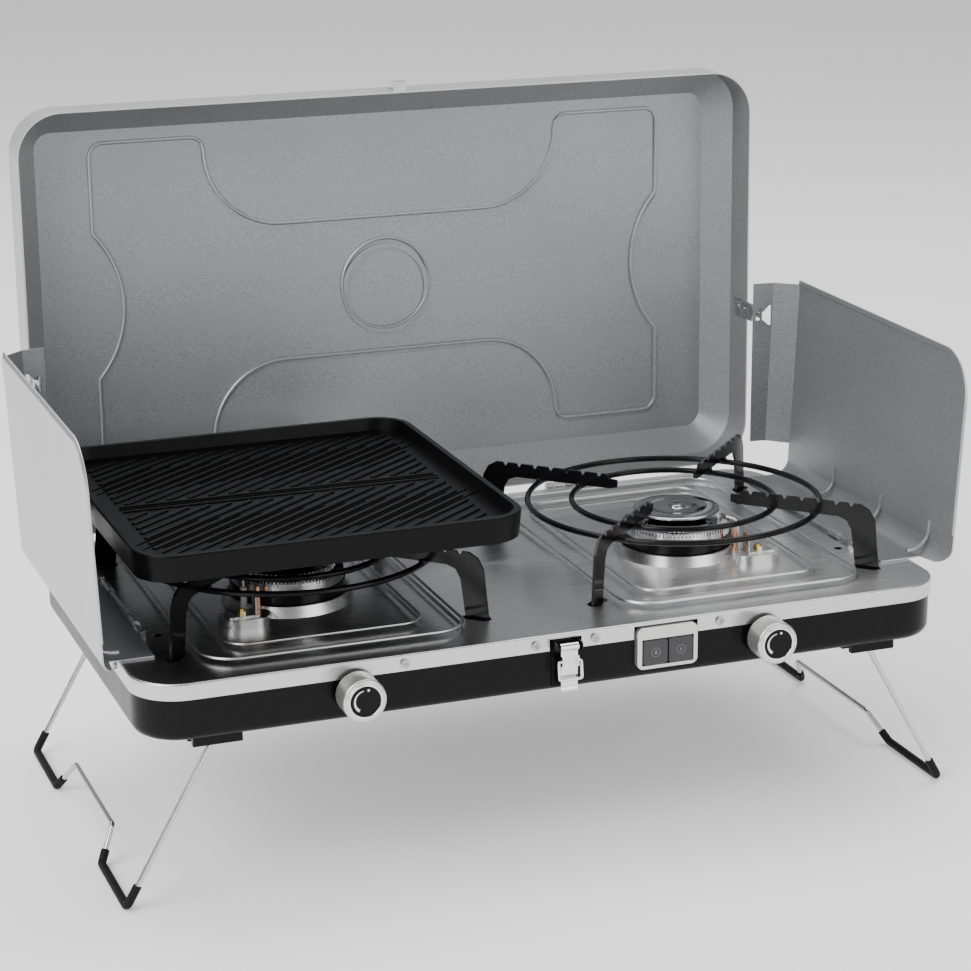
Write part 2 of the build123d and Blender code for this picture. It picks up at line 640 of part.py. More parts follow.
with BuildPart() as hinge_pins:
    for s in (-1, 1):
        with Locations(Plane(origin=(s * hinge_x, hinge_y, hinge_z), z_dir=(1, 0, 0))):
            Cylinder(1.5, 58)
hinge_pins.part.label = "hinge_pins"
export_step(hinge_pins.part, "parts/hinge_pins.step")

# --- wind shields: deck flange, bend, upright panel, rear strip and slotted tab ---
with BuildPart() as panel_outline:
    with BuildSketch(Plane(origin=(282, 0, 0), x_dir=(0, 1, 0), z_dir=(1, 0, 0))):
        with BuildLine():
            Line((deck_y - 112, top - 1), (deck_y - 112, top + 1.7))
            Line((deck_y - 112, top + 1.7), (deck_y - 131, top + 2.6))
            ThreePointArc((deck_y - 131, top + 2.6), (deck_y - 140.9, top + 6.7), (deck_y - 145, top + 16.6))
            Line((deck_y - 145, top + 16.6), (deck_y - 147, top + 131))
            ThreePointArc((deck_y - 147, top + 131), (deck_y - 137.2, top + 155.2), (deck_y - 113, top + 165))
            Line((deck_y - 113, top + 165), (deck_y + 135.2, top + 167))
            Line((deck_y + 135.2, top + 167), (deck_y + 135.2, top - 1))
            Line((deck_y + 135.2, top - 1), (deck_y - 112, top - 1))
        make_face()
    extrude(amount=64)

with BuildPart() as windshield_right:
    with BuildSketch(Plane(origin=(0, deck_y + 136, 0), x_dir=(1, 0, 0), z_dir=(0, -1, 0))):
        with BuildLine():
            flat = Line((289.4, top + 0.2), (319.0, top + 0.2))
            curve = TangentArc(flat @ 1, (334.2, top + 16.5), tangent=flat % 1)
            Line(curve @ 1, (341.0, top + 168))
            offset(amount=1.2, side=Side.LEFT)
        make_face()
    extrude(amount=290)
    add(panel_outline.part, mode=Mode.INTERSECT)
    with BuildSketch(Plane.XY.offset(top + 28)):
        with BuildLine():
            Polyline((333.6, deck_y + 134.4), (318.0, deck_y + 150.0), (304.6, deck_y + 151.6))
            offset(amount=1.2, side=Side.RIGHT)
        make_face()
    with BuildSketch(Plane.XY.offset(top + 167.0)):
        with BuildLine():
            Polyline((339.8, deck_y + 134.4), (322.4, deck_y + 149.2), (304.6, deck_y + 151.6))
            offset(amount=1.2, side=Side.RIGHT)
        make_face()
    loft()
    for ry in (-40, 40):
        with Locations(Plane(origin=(shield_pivot_x, deck_y + ry, shield_pivot_z), z_dir=(0, 1, 0))):
            Cylinder(2.8, 16)
        with Locations((shield_pivot_x + 2.3, deck_y + ry, top + 0.8)):
            Box(3.4, 16, 1.2)
        with Locations(Plane(origin=(shield_pivot_x, deck_y + ry, shield_pivot_z), z_dir=(0, 1, 0))):
            Cylinder(1.6, 17, mode=Mode.SUBTRACT)
    with BuildSketch(Plane(origin=(0, deck_y + 156, 0), x_dir=(1, 0, 0), z_dir=(0, -1, 0))):
        with BuildLine():
            Polyline(
                (307.2, top + 134.8), (313.6, top + 134.8), (318.6, top + 130.4), (320.6, top + 130.4),
                (320.6, top + 147.6), (318.6, top + 147.6), (313.6, top + 142.2), (307.2, top + 142.2), close=True)
        make_face()
    extrude(amount=10, mode=Mode.SUBTRACT)
windshield_right.part.label = "windshield_right"
export_step(windshield_right.part, "parts/windshield_right.step")

with BuildPart() as windshield_left:
    mirror(windshield_right.part, about=Plane.YZ)
windshield_left.part.label = "windshield_left"
export_step(windshield_left.part, "parts/windshield_left.step")

with BuildPart() as shield_rods:
    for s in (-1, 1):
        with Locations(Plane(origin=(s * shield_pivot_x, deck_y, shield_pivot_z), z_dir=(0, 1, 0))):
            Cylinder(1.5, 138)
shield_rods.part.label = "shield_rods"
export_step(shield_rods.part, "parts/shield_rods.step")

with BuildPart() as rod_lugs:
    for s in (-1, 1):
        for ry in (-66, 66):
            with Locations((s * shield_pivot_x, deck_y + ry, top + 2.4)):
                Box(4.4, 4, 4.8)
            with Locations(Plane(origin=(s * shield_pivot_x, deck_y + ry, shield_pivot_z), z_dir=(0, 1, 0))):
                Cylinder(1.5, 5, mode=Mode.SUBTRACT)
rod_lugs.part.label = "rod_lugs"
export_step(rod_lugs.part, "parts/rod_lugs.step")

# --- folding wire legs with rubber sleeves, and their brackets ---
def leg_point(s, along, y):
    """Point in the slanted plane of a leg frame, measured down from its pivot."""
    return (s * (leg_pivot_x + along * math.sin(leg_angle)), y, leg_pivot_z - along * math.cos(leg_angle))


for s, side in sides:
    leg_wire = wire_solid(
        [leg_point(s, 0, leg_front_y + 13), leg_point(s, 0, leg_front_y), leg_point(s, foot_s, leg_front_y),
         leg_point(s, foot_s, leg_front_y + 79), leg_point(s, foot_s - 26, leg_front_y + 95),
         leg_point(s, foot_s - 26, leg_rear_y - 95), leg_point(s, foot_s, leg_rear_y - 79),
         leg_point(s, foot_s, leg_rear_y), leg_point(s, 0, leg_rear_y), leg_point(s, 0, leg_rear_y - 13)],
        4.0, leg_wire_r)
    with BuildPart() as leg:
        add(leg_wire)
    leg.part.label = "leg_" + side
    export_step(leg.part, "parts/leg_" + side + ".step")

    tubes = []
    for edge_y, way in ((leg_front_y, 1), (leg_rear_y, -1)):
        run = [leg_point(s, foot_s - 17, edge_y), leg_point(s, foot_s, edge_y),
               leg_point(s, foot_s, edge_y + way * 79), leg_point(s, foot_s - 9, edge_y + way * 84.5)]
        tubes.append(wire_solid(run, 4.0, sleeve_r) - wire_solid(run, 4.0, leg_wire_r + 0.04))
    with BuildPart() as sleeves:
        add(tubes)
    sleeves.part.label = "leg_sleeves_" + side
    export_step(sleeves.part, "parts/leg_sleeves_" + side + ".step")

with BuildPart() as leg_brackets:
    for s in (-1, 1):
        for edge_y, way in ((leg_front_y, 1), (leg_rear_y, -1)):
            with Locations((s * leg_pivot_x, edge_y + way * 1.0, top - 45.1)):
                Box(36, 23, 1.8)
            with Locations((s * leg_pivot_x, edge_y + way * 8.5, top - 49.2)):
                Box(36, 8.0, 8.6)
            with Locations((s * leg_pivot_x, edge_y - way * 8.0, top - 48.6)):
                Box(36, 5.0, 7.0)
            with Locations(Plane(origin=(s * leg_pivot_x, edge_y + way * 8.5, leg_pivot_z), z_dir=(0, 1, 0))):
                Cylinder(leg_wire_r + 0.08, 10, mode=Mode.SUBTRACT)
leg_brackets.part.label = "leg_brackets"
export_step(leg_brackets.part, "parts/leg_brackets.step")
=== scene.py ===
"""Looks of the two-burner camping stove.

Finishes for the CAD nodes, surface details, light, floor and camera.
"""
import json
import math
import random

import bmesh
import bpy
from mathutils import Matrix, Vector


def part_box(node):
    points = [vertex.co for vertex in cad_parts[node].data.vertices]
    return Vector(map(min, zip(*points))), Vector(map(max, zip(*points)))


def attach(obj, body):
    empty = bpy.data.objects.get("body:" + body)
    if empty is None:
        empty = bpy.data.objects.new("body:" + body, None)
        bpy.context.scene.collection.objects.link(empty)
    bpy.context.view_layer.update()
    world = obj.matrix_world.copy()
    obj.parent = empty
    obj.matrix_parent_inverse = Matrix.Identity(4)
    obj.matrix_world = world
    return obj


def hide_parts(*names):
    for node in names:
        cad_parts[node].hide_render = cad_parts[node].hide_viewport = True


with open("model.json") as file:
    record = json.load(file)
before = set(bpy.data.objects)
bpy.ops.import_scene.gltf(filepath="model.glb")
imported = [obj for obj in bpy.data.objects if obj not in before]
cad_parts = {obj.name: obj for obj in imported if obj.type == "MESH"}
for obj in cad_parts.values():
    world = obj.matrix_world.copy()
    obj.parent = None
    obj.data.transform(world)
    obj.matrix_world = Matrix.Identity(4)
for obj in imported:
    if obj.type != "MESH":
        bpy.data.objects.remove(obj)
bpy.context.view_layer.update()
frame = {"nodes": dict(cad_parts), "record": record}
random.seed(4)

MM = 0.001
SIDES = ((-1, "left"), (1, "right"))

# Middle of the deck, its top level, and the record's colour of each slot.
deck_low, deck_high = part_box("top_deck")
DECK_Y = (deck_low.y + deck_high.y) / 2
TOP = deck_high.z
COLOURS = {m["slot"]: m["base_color"] for m in frame["record"]["materials"]}


def on_deck(x, y, z):
    """Row coordinates of a point in mm from the middle of the deck's top."""
    return x * MM, DECK_Y + y * MM, TOP + z * MM


# ---------------------------------------------------------------- materials

class Finish:
    """A Principled material whose colour, roughness and bump come from procedural grain in object space."""

    def __init__(self, name, **sockets):
        self.material = bpy.data.materials.new(name)
        self.material.use_nodes = True
        self.nodes = self.material.node_tree.nodes
        self.links = self.material.node_tree.links
        self.shader = self.nodes["Principled BSDF"]
        self.place = self.nodes.new("ShaderNodeTexCoord")
        for socket, value in sockets.items():
            self.shader.inputs[socket.replace("_", " ")].default_value = value

    def noise(self, scale, stretch=(1, 1, 1), detail=4.0):
        """Noise value with a given scale per metre, squeezed along the axes whose stretch is small."""
        mapping = self.nodes.new("ShaderNodeMapping")
        mapping.inputs["Scale"].default_value = stretch
        self.links.new(self.place.outputs["Object"], mapping.inputs["Vector"])
        noise = self.nodes.new("ShaderNodeTexNoise")
        noise.inputs["Scale"].default_value = scale
        noise.inputs["Detail"].default_value = detail
        self.links.new(mapping.outputs["Vector"], noise.inputs["Vector"])
        return noise.outputs["Fac"]

    def cells(self, scale):
        """One random value per cell, as in zinc spangle or hammered flakes."""
        cell = self.nodes.new("ShaderNodeTexVoronoi")
        cell.inputs["Scale"].default_value = scale
        self.links.new(self.place.outputs["Object"], cell.inputs["Vector"])
        grey = self.nodes.new("ShaderNodeSeparateColor")
        self.links.new(cell.outputs["Color"], grey.inputs["Color"])
        return grey.outputs["Red"]

    def remap(self, value, low, high, start=0.3, end=0.7):
        node = self.nodes.new("ShaderNodeMapRange")
        node.inputs["From Min"].default_value = start
        node.inputs["From Max"].default_value = end
        node.inputs["To Min"].default_value = low
        node.inputs["To Max"].default_value = high
        self.links.new(value, node.inputs["Value"])
        return node.outputs["Result"]

    def blend(self, factor, first, second):
        """Colour mix; first and second are colours or colour outputs."""
        mix = self.nodes.new("ShaderNodeMix")
        mix.data_type = "RGBA"
        self.links.new(factor, mix.inputs["Factor"])
        for socket, colour in (("A", first), ("B", second)):
            target = next(s for s in mix.inputs if s.name == socket and s.type == "RGBA")
            if isinstance(colour, bpy.types.NodeSocket):
                self.links.new(colour, target)
            else:
                target.default_value = (*colour[:3], 1)
        return next(s for s in mix.outputs if s.type == "RGBA")

    def colour(self, value, base, spread):
        """Base colour that varies by spread around base, driven by value."""
        low = [c * (1 - spread) for c in base]
        high = [min(1, c * (1 + spread)) for c in base]
        self.paint(self.blend(self.remap(value, 0, 1), low, high))

    def paint(self, output):
        self.links.new(output, self.shader.inputs["Base Color"])

    def rough(self, value, low, high):
        self.links.new(self.remap(value, low, high), self.shader.inputs["Roughness"])

    def bump(self, value, strength, distance):
        node = self.nodes.new("ShaderNodeBump")
        node.inputs["Strength"].default_value = strength
        node.inputs["Distance"].default_value = distance
        self.links.new(value, node.inputs["Height"])
        self.links.new(node.outputs["Normal"], self.shader.inputs["Normal"])

    def inner_mask(self, centre):
        """1 on faces that look towards centre, 0 on faces that look away."""
        offset = self.nodes.new("ShaderNodeVectorMath")
        offset.operation = "SUBTRACT"
        offset.inputs[1].default_value = centre
        self.links.new(self.place.outputs["Object"], offset.inputs[0])
        facing = self.nodes.new("ShaderNodeVectorMath")
        facing.operation = "DOT_PRODUCT"
        self.links.new(offset.outputs["Vector"], facing.inputs[0])
        self.links.new(self.place.outputs["Normal"], facing.inputs[1])
        inside = self.nodes.new("ShaderNodeMath")
        inside.operation = "LESS_THAN"
        inside.inputs[1].default_value = 0.0
        self.links.new(facing.outputs["Value"], inside.inputs[0])
        return inside.outputs["Value"]


def plain_finish(slot, grain, spread, rough, bump,
                 stretch=(1, 1, 1), tone=1.0, name=None, **sockets):
    """Fine grain drives colour and bump, and broad smudges drive roughness.

    Tone scales the record's colour. The remaining arguments are shader sockets.
    """
    smudges = 22.0
    f = Finish(name or slot, **sockets)
    fine = f.noise(grain, stretch)
    f.colour(fine, [tone * c for c in COLOURS[slot]], spread)
    f.rough(f.noise(smudges), *rough)
    f.bump(fine, *bump)
    return f.material


def brushed_finish(slot, rough):
    """Long fine brush marks along X over a cloudy base, as on rolled stainless sheet."""
    along_x = (0.004, 1.0, 1.0)
    f = Finish(slot, Metallic=1.0, Anisotropic=0.5)
    marks = f.noise(2400.0, along_x, 2.0)
    clouds = f.noise(16.0, (1, 1.6, 1), 3.0)
    bright = [min(1, c * 1.03) for c in COLOURS[slot]]
    dull = [c * 0.90 for c in COLOURS[slot]]
    streaks = f.blend(f.remap(marks, 0, 1, 0.25, 0.75), dull, bright)
    f.paint(f.blend(f.remap(clouds, 0.0, 0.35), streaks, COLOURS[slot]))
    f.rough(marks, *rough)
    f.bump(marks, 0.03, 0.0001)
    return f.material


def spangle_finish(slot):
    """Zinc plate with soft crystal patches."""
    f = Finish(slot, Metallic=1.0)
    f.colour(f.cells(420.0), COLOURS[slot], 0.22)
    f.rough(f.noise(60.0), 0.24, 0.42)
    f.bump(f.noise(1500.0), 0.08, 0.0001)
    return f.material


def silver_paint(name, inner, outer, centre):
    """Hammered silver paint, grey on the faces towards centre and light on the outside. On the wind shields
    the darker grey inside is painted shade.
    """
    f = Finish(name, Metallic=0.55, Coat_Weight=0.15, Coat_Roughness=0.35)
    flakes = f.noise(1400.0, detail=3.0)
    broad = f.noise(9.0, detail=2.0)
    tone = f.blend(f.inner_mask(centre), outer, inner)
    lit = f.blend(f.remap(flakes, 0.0, 0.28), tone, (0.9, 0.9, 0.92))
    f.paint(f.blend(f.remap(broad, 0.0, 0.10), lit, (0.08, 0.08, 0.09)))
    f.rough(flakes, 0.36, 0.50)
    f.bump(flakes, 0.22, 0.0003)
    return f.material


def make_finishes():
    """One material per slot of the record."""
    steel = {"Metallic": 1.0}
    fine_dent = 0.0001
    return {
        "stainless": brushed_finish("stainless", (0.26, 0.31)),
        "dark_steel": plain_finish("dark_steel", 700.0, 0.06, (0.05, 0.12), (0.03, fine_dent), **steel),
        "zinc": spangle_finish("zinc"),
        "black_enamel": plain_finish("black_enamel", 420.0, 0.25, (0.14, 0.22), (0.06, 0.0002),
                                     tone=0.3, Specular_IOR_Level=0.2),
        "black_body": plain_finish("black_body", 1100.0, 0.35, (0.22, 0.30), (0.10, 0.0002),
                                   tone=0.35, Specular_IOR_Level=0.12),
        "chrome": plain_finish("chrome", 700.0, 0.05, (0.07, 0.18), (0.03, fine_dent), **steel),
        "steel_wire": plain_finish("steel_wire", 900.0, 0.12, (0.16, 0.30), (0.08, fine_dent), **steel),
        "brass": plain_finish("brass", 800.0, 0.14, (0.16, 0.30), (0.08, fine_dent), **steel),
        "copper": plain_finish("copper", 500.0, 0.30, (0.22, 0.40), (0.10, fine_dent), **steel),
        "ceramic": plain_finish("ceramic", 600.0, 0.06, (0.22, 0.32), (0.05, fine_dent),
                                Coat_Weight=0.4),
        "rubber": plain_finish("rubber", 1600.0, 0.30, (0.50, 0.65), (0.30, 0.0002),
                               tone=0.4, Specular_IOR_Level=0.15),
        "non_stick": plain_finish("non_stick", 1500.0, 0.45, (0.26, 0.36), (0.30, 0.0003),
                                  tone=0.18, Specular_IOR_Level=0.11),
        "knob_silver": plain_finish("knob_silver", 1300.0, 0.06, (0.24, 0.36), (0.12, fine_dent),
                                    stretch=(1, 0.05, 1), Metallic=0.85),
        "knob_black": plain_finish("knob_black", 1500.0, 0.35, (0.34, 0.46), (0.15, fine_dent),
                                   tone=0.4, Specular_IOR_Level=0.12),
        "grey_plastic": plain_finish("grey_plastic", 1500.0, 0.18, (0.36, 0.48), (0.22, 0.0002),
                                     Specular_IOR_Level=0.3),
        "dark_plastic": plain_finish("dark_plastic", 1300.0, 0.25, (0.45, 0.60), (0.20, 0.0002)),
    }


finishes = make_finishes()
lid_low, lid_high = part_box("lid_shell")
lid_centre = (lid_low + lid_high) / 2
stove_centre = Vector((0, DECK_Y, TOP + 0.080))
INNER = [0.55 * c for c in COLOURS["silver_paint"]]
# The wind shields' inner grey, darker again than the lid's inside, is painted shade from the lid and the
# other shield.
SHIELD_INNER_SHADED = [0.72 * c for c in INNER]
OUTER = (0.50, 0.50, 0.51)
painted = {
    "lid_shell": silver_paint("lid_paint", INNER, OUTER, lid_centre),
    "windshield_left": silver_paint("shield_paint_inner_shaded", SHIELD_INNER_SHADED, OUTER, stove_centre),
}
painted["windshield_right"] = painted["windshield_left"]
# Darkened screw steel: painted shade standing in for the dark recess and outline around each screw head.
painted["rim_screws"] = plain_finish("chrome", 500.0, 0.3, (0.10, 0.25), (0.05, 0.0001), tone=0.5,
                                     name="screw_steel_shaded", Metallic=1.0)


def print_finish(name, colour, spread):
    """Printed ink with a slight unevenness."""
    f = Finish(name)
    f.colour(f.noise(900.0), colour, spread)
    f.rough(f.noise(400.0), 0.45, 0.6)
    return f.material


white_mark = print_finish("white_mark", (0.80, 0.80, 0.78), 0.06)
icon_mark = print_finish("icon_mark", (0.16, 0.16, 0.165), 0.10)


def dress_cad_nodes():
    """Every CAD node takes the finish of its slot, and thin hard edges a bevel that catches light."""
    softened = {"support_arms_left": 0.35, "support_arms_right": 0.35, "latch_lever": 0.2,
                "latch_base": 0.2, "lid_hooks": 0.2, "hinge_brackets": 0.25, "hinge_leaves": 0.25,
                "electrode_brackets": 0.2, "leg_brackets": 0.5, "body_tray": 0.15}
    for entry in frame["record"]["subparts"]:
        node = entry["node"]
        obj = frame["nodes"][node]
        obj.data.materials.clear()
        obj.data.materials.append(painted.get(node) or finishes[entry["material_slot"]])
        if node in softened:
            bevel = obj.modifiers.new("edge", "BEVEL")
            bevel.width = softened[node] * MM
            bevel.segments = 2
            bevel.limit_method = "ANGLE"
            bevel.angle_limit = math.radians(40)
            bevel.harden_normals = True


# ---------------------------------------------------------------- mesh helpers

def piece(name, bm, body, material, smooth=True):
    """Turns a bmesh in the row frame into a named piece that rides on a body."""
    bmesh.ops.recalc_face_normals(bm, faces=bm.faces)
    mesh = bpy.data.meshes.new(name)
    bm.to_mesh(mesh)
    bm.free()
    obj = bpy.data.objects.new(name, mesh)
    bpy.context.scene.collection.objects.link(obj)
    mesh.materials.append(material)
    if smooth:
        for face in mesh.polygons:
            face.use_smooth = True
    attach(obj, body)
    return obj


def stadium(start, end, width, steps=6):
    """Outline of a bar with round ends, between two points of a plane."""
    run = (end - start).normalized()
    heading = math.atan2(run.y, run.x)
    outline = []
    for centre, turn in ((end, -90), (start, 90)):
        for k in range(steps + 1):
            a = heading + math.radians(turn + 180 * k / steps)
            outline.append(centre + Vector((math.cos(a), math.sin(a))) * width / 2)
    return outline


def raised_bar(bm, start, end, width, height, z):
    """Low bar with a rounded crown on a level floor at z, its foot sunk a little into it."""
    levels = ((1.0, -0.1 * height), (1.0, 0.45 * height), (0.72, 0.85 * height), (0.34, height))
    rings = []
    for share, rise in levels:
        rings.append([bm.verts.new((p.x, p.y, z + rise)) for p in stadium(start, end, width * share)])
    for low, high in zip(rings, rings[1:]):
        for k in range(len(low)):
            nxt = (k + 1) % len(low)
            bm.faces.new((low[k], low[nxt], high[nxt], high[k]))
    bm.faces.new(rings[-1])
    bm.faces.new(list(reversed(rings[0])))


def front_plate(bm, outline, y, thickness):
    """Flat mark on a face that looks to -Y; outline holds (x, z) pairs."""
    near = [bm.verts.new((x, y - thickness, z)) for x, z in outline]
    far = [bm.verts.new((x, y, z)) for x, z in outline]
    bm.faces.new(near)
    for k in range(len(near)):
        nxt = (k + 1) % len(near)
        bm.faces.new((near[k], near[nxt], far[nxt], far[k]))


def front_arc(bm, cx, cz, radius, first, last, w_first, w_last, y, thickness, steps=40):
    """Curved band on a front face, as small quads so that it stays flat."""
    for k in range(steps):
        pair = []
        for j in (k, k + 1):
            t = j / steps
            a = math.radians(first + (last - first) * t)
            half = (w_first + (w_last - w_first) * t) / 2
            pair.append([(cx + (radius + d) * math.cos(a), cz + (radius + d) * math.sin(a))
                         for d in (-half, half)])
        front_plate(bm, [pair[0][0], pair[0][1], pair[1][1], pair[1][0]], y, thickness)


def bead(name, points, radius, body, material, closed=False):
    """Rounded bead along points: a closed one runs straight between them, an open one is smooth."""
    curve = bpy.data.curves.new(name, "CURVE")
    curve.dimensions = "3D"
    curve.bevel_depth = radius
    curve.bevel_resolution = 4
    curve.use_fill_caps = not closed
    spline = curve.splines.new("POLY" if closed else "NURBS")
    spline.points.add(len(points) - 1)
    for target, p in zip(spline.points, points):
        target.co = (*p, 1)
    if closed:
        spline.use_cyclic_u = True
    else:
        spline.order_u = 3
        spline.use_endpoint_u = True
    curve.materials.append(material)
    obj = bpy.data.objects.new(name, curve)
    bpy.context.scene.collection.objects.link(obj)
    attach(obj, body)


# ---------------------------------------------------------------- details

def griddle_ribs():
    """Diagonal cooking ribs in two fields, with a plain channel between two long bars."""
    low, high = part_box("griddle")
    floor = high.z - 9.5 * MM
    centre = Vector(((low.x + high.x) / 2, (low.y + high.y) / 2))
    slope = math.radians(38)
    half_x, near, far = 122 * MM, 13 * MM, 126 * MM
    pitch, middle, shortest = 16, 72 * MM, 0.08
    bm = bmesh.new()
    for half in (-1, 1):
        y_low, y_high = sorted((half * near, half * far))
        mid = half * middle
        for i in range(-14, 14):
            x0 = (pitch * i + pitch / 2) * MM
            x_a = x0 + (y_low - mid) / math.tan(slope)
            x_b = x0 + (y_high - mid) / math.tan(slope)
            t0 = max(0.0, (-half_x - x_a) / (x_b - x_a))
            t1 = min(1.0, (half_x - x_a) / (x_b - x_a))
            if t1 - t0 < shortest:
                continue
            run = Vector((x_b - x_a, y_high - y_low))
            start = centre + Vector((x_a, y_low)) + run * t0
            end = centre + Vector((x_a, y_low)) + run * t1
            raised_bar(bm, start, end, 4.2 * MM, 1.3 * MM, floor)
    for y in (-6 * MM, 6 * MM):
        raised_bar(bm, centre + Vector((-half_x, y)), centre + Vector((half_x, y)), 2.6 * MM, 1.2 * MM, floor)
    piece("griddle_ribs", bm, "griddle_plate", finishes["non_stick"])


def burner_caps():
    """Polished domed caps: a rim, a full crown, a shallow dish and a low middle stud."""
    count, steps = 96, 12
    dish = ((0.66, -0.15), (0.60, -0.9), (0.50, -1.1), (0.24, -1.1), (0.17, -0.8), (0.15, 0.6))
    for _, side in SIDES:
        low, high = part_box("burner_cap_" + side)
        cx, cy, rim = (low.x + high.x) / 2, (low.y + high.y) / 2, (high.x - low.x) / 2
        base = TOP + 25.05 * MM
        shoulder = base + 1.2 * MM
        crown = high.z - 1.2 * MM
        profile = [(0.55 * rim, base), (0.97 * rim, base), (rim, base + 0.4 * MM), (rim, shoulder)]
        for k in range(1, steps + 1):
            a = math.radians(90 * k / steps)
            profile.append((rim * (0.72 + 0.28 * math.cos(a)),
                            shoulder + (crown - base - 1.2 * MM) * math.sin(a)))
        for share, rise in dish:
            profile.append((share * rim, crown + rise * MM))
        profile += [(0.11 * rim, high.z), (0.0005 * rim, high.z)]
        bm = bmesh.new()
        rings = []
        for r, z in profile:
            turns = (2 * math.pi * k / count for k in range(count))
            rings.append([bm.verts.new((cx + r * math.cos(a), cy + r * math.sin(a), z)) for a in turns])
        for near, far in zip(rings, rings[1:]):
            for k in range(count):
                nxt = (k + 1) % count
                bm.faces.new((near[k], near[nxt], far[nxt], far[k]))
        bm.faces.new(rings[-1])
        bm.faces.new(list(reversed(rings[0])))
        dome = piece("burner_dome_" + side, bm, "base", finishes["dark_steel"])
        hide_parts("burner_cap_" + side)


def knob_marks():
    """White heat arc and dot on each knob face."""
    proud = 0.12 * MM
    for _, side in SIDES:
        low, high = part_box("knob_face_" + side)
        cx, cz = (low.x + high.x) / 2, (low.z + high.z) / 2
        bm = bmesh.new()
        front_arc(bm, cx, cz, 7.9 * MM, 235, 98, 1.9 * MM, 0.5 * MM, low.y, proud)
        dot = [(cx + (2.4 + 0.9 * math.cos(a)) * MM, cz + (8.0 + 0.9 * math.sin(a)) * MM)
               for a in (2 * math.pi * k / 20 for k in range(20))]
        front_plate(bm, dot, low.y, proud)
        piece("knob_mark_" + side, bm, "knob_" + side, white_mark, smooth=False)


def button_icons():
    """A ring with a flame drop on the left button and a ring with a bolt on the right one."""
    proud = 0.1 * MM
    drop = [(0, 2.0), (0.8, 0.6), (1.0, -0.5), (0.5, -1.4), (-0.5, -1.4), (-1.0, -0.5), (-0.6, 0.4)]
    bolt = [(0.5, 2.0), (-1.1, -0.3), (-0.2, -0.3), (-0.6, -2.0), (1.1, 0.5), (0.2, 0.5)]
    for side, symbol in (("left", drop), ("right", bolt)):
        low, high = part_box("ignition_button_" + side)
        cx, cz = (low.x + high.x) / 2, (low.z + high.z) / 2
        bm = bmesh.new()
        front_arc(bm, cx, cz, 3.4 * MM, 0, 360, 0.35 * MM, 0.35 * MM, low.y, proud)
        front_plate(bm, [(cx + x * MM, cz + z * MM) for x, z in symbol], low.y, proud)
        piece("button_icon_" + side, bm, "button_" + side, icon_mark, smooth=False)


def support_welds():
    """Weld beads where the wire rings meet the underside of the toothed arms."""
    inner_ring, outer_ring = 81 * MM, 116 * MM
    long_way, short_way, tall = 2.6 * MM, 1.9 * MM, 1.5 * MM
    for _, side in SIDES:
        low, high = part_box("support_rings_" + side)
        cx, cy = (low.x + high.x) / 2, (low.y + high.y) / 2
        bm = bmesh.new()
        for quarter in range(4):
            a = math.radians(45 + 90 * quarter)
            out, across = Vector((math.cos(a), math.sin(a), 0)), Vector((-math.sin(a), math.cos(a), 0))
            for radius in (inner_ring, outer_ring):
                for way in (-1, 1):
                    spot = Vector((cx, cy, high.z + 0.2 * MM)) + out * radius + across * way * 1.6 * MM
                    size = Matrix.Diagonal((long_way, short_way, tall, 1))
                    turn = Matrix.Rotation(a, 4, "Z")
                    made = bmesh.ops.create_icosphere(bm, subdivisions=3, radius=1,
                                                      matrix=Matrix.Translation(spot) @ turn @ size)
                    for v in made["verts"]:
                        v.co += (v.co - spot) * random.uniform(-0.07, 0.07)
        piece("weld_beads_" + side, bm, "support_" + side, finishes["black_enamel"])


def arc_points(cx, cy, r, first, last, steps=14):
    turns = (math.radians(first + (last - first) * k / steps) for k in range(steps + 1))
    return [(cx + r * math.cos(a), cy + r * math.sin(a)) for a in turns]


def lid_outline():
    """Edge of the pressed H in lid coordinates, mm: across from the middle, and up from the middle."""
    bite = math.degrees(math.asin(60 / 89.8))
    quarter = arc_points(88, 121, 64, -90, 0) + arc_points(163, 121, 11, 180, 90, 6)
    quarter += arc_points(235, 121, 11, 90, 0, 6) + arc_points(312.8, 0, 89.8, 180 - bite, 180)
    right = quarter + [(x, -y) for x, y in reversed(quarter[:-1])]
    return right + [(-x, y) for x, y in reversed(right)]


def shield_details():
    """Folded-over hem along the free edges and three beads on the inner face of each wind shield."""
    wall_x, wall_foot, lean, wall_rise, sheet = 334.2, 16.5, 6.8, 151.5, 1.2
    hem = ((0.5, -0.3), (0.5, 0.6), (0.9, 0.9), (4.3, 0.9), (4.9, 0.5), (4.9, -0.3))
    stiffener = ((314, 1.6), (319, 1.6), (326, 3.4), (331.6, 9.5), (332.9, 17), (333.2, 24))

    def inner_x(rise):
        return (wall_x + (rise - wall_foot) * lean / wall_rise - sheet) * MM

    def edge(inset):
        front, corner, back = -145.2 + inset, arc_points(-113, 131, 34 - inset, 180, 90), 166.8 - inset
        return [(front, 22)] + corner + [(134.6, back)]

    for s, side in SIDES:
        body = "shield_" + side
        paint = painted["windshield_" + side]
        bm = bmesh.new()
        rows = []
        for inset, lift in hem:
            rows.append([bm.verts.new((s * (inner_x(rise) - lift * MM), DECK_Y + y * MM, TOP + rise * MM))
                         for y, rise in edge(inset)])
        for low, high in zip(rows, rows[1:]):
            for k in range(len(low) - 1):
                bm.faces.new((low[k], low[k + 1], high[k + 1], high[k]))
        for end in (0, -1):
            bm.faces.new([row[end] for row in rows])
        piece("shield_hem_" + side, bm, body, paint, smooth=False)
        for k, y in enumerate((50, -30, -108)):
            points = [on_deck(s * x, y, rise) for x, rise in stiffener]
            bead(f"shield_bead_{side}_{k + 1}", points, 1.5 * MM, body, paint)


